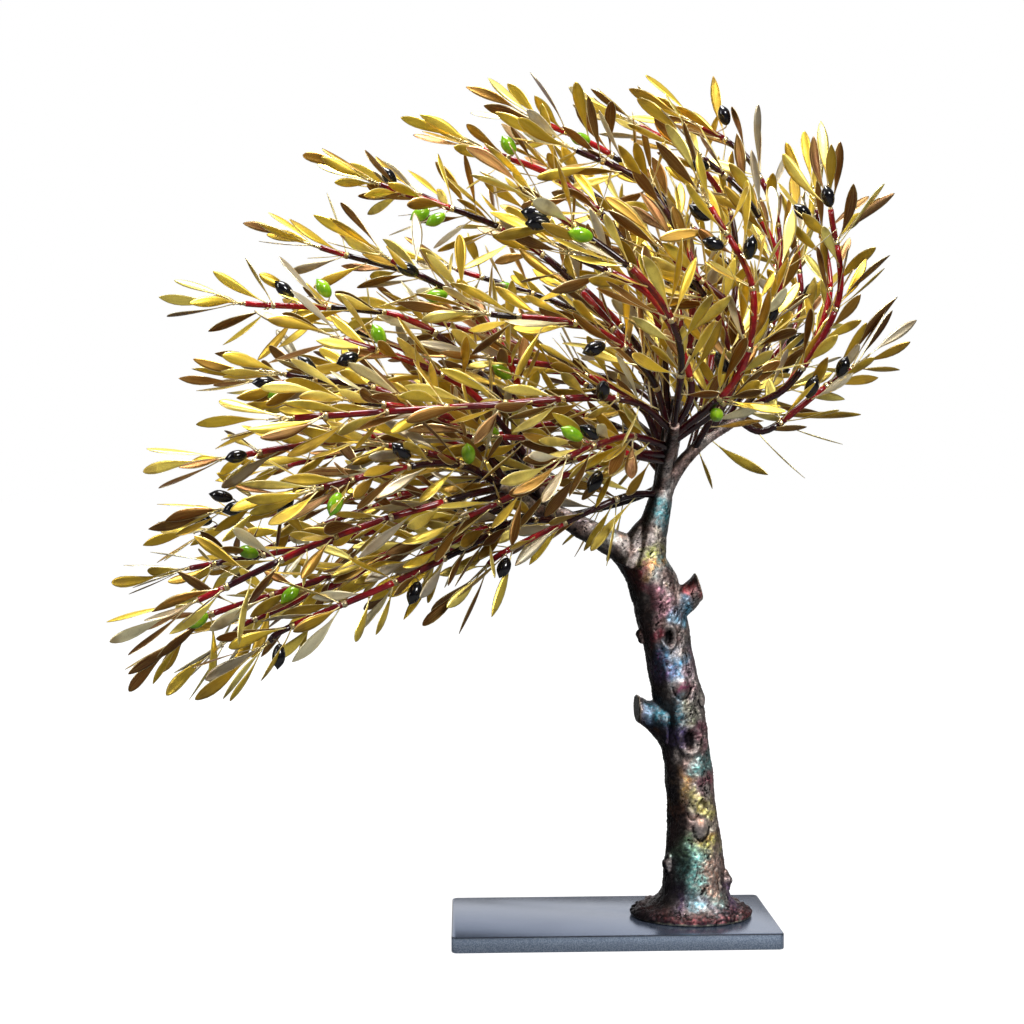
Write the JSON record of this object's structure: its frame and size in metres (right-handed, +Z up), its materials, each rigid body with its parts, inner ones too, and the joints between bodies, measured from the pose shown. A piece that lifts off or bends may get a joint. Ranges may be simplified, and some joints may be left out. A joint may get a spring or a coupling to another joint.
{
  "type": "windswept olive tree sculpture",
  "caption": "Metal sculpture of a windswept olive tree: patinated bronze trunk on a flat steel plate, lacquered branches, brass leaves and olives, to stand on a shelf or table.",
  "frame": {"origin": "centre of the plate's underside", "axes": "+Z up, X along the plate, the wind blows the crown towards -X, -Y is the side with the trunk's shown knots"},
  "size_m": [0.5961, 0.3524, 0.629],
  "materials": {
    "plate_steel": "satin blue-grey steel",
    "patina_bronze": "cast bronze, heat patina in blue, purple, green and orange over dark grey",
    "screw_steel": "plain zinc-plated",
    "leaf_brass": "thin brass, golden to brown heat tint",
    "rod_lacquer": "glossy lacquer, red and nearly black stretches",
    "black_olive": "high gloss black",
    "green_olive": "high gloss green"
  },
  "bodies": {
    "root": {"base_plate": "plate_steel", "trunk": "patina_bronze", "screw_left": "screw_steel", "screw_right": "screw_steel", "spray_01": "leaf_brass", "spray_02": "leaf_brass", "spray_03": "leaf_brass", "spray_04": "leaf_brass", "spray_05": "leaf_brass", "spray_06": "leaf_brass", "spray_07": "leaf_brass", "spray_08": "leaf_brass", "spray_09": "leaf_brass", "spray_10": "leaf_brass", "spray_11": "leaf_brass", "spray_12": "leaf_brass", "spray_13": "leaf_brass", "spray_14": "leaf_brass", "spray_15": "leaf_brass", "spray_16": "leaf_brass", "spray_17": "leaf_brass", "spray_18": "leaf_brass", "spray_19": "leaf_brass", "spray_20": "leaf_brass", "spray_21": "leaf_brass", "spray_22": "leaf_brass", "spray_23": "leaf_brass", "spray_24": "leaf_brass", "spray_25": "leaf_brass", "spray_26": "leaf_brass", "spray_27": "leaf_brass", "spray_28": "leaf_brass", "spray_29": "leaf_brass", "spray_30": "leaf_brass", "spray_31": "leaf_brass", "spray_32": "leaf_brass", "spray_33": "leaf_brass", "spray_34": "leaf_brass", "spray_35": "leaf_brass", "spray_36": "leaf_brass", "spray_37": "leaf_brass", "spray_38": "leaf_brass", "spray_39": "leaf_brass", "spray_40": "leaf_brass", "spray_41": "leaf_brass", "spray_42": "leaf_brass", "spray_43": "leaf_brass", "spray_44": "leaf_brass", "spray_45": "leaf_brass", "spray_46": "leaf_brass", "spray_47": "leaf_brass"}
  },
  "joints": []
}
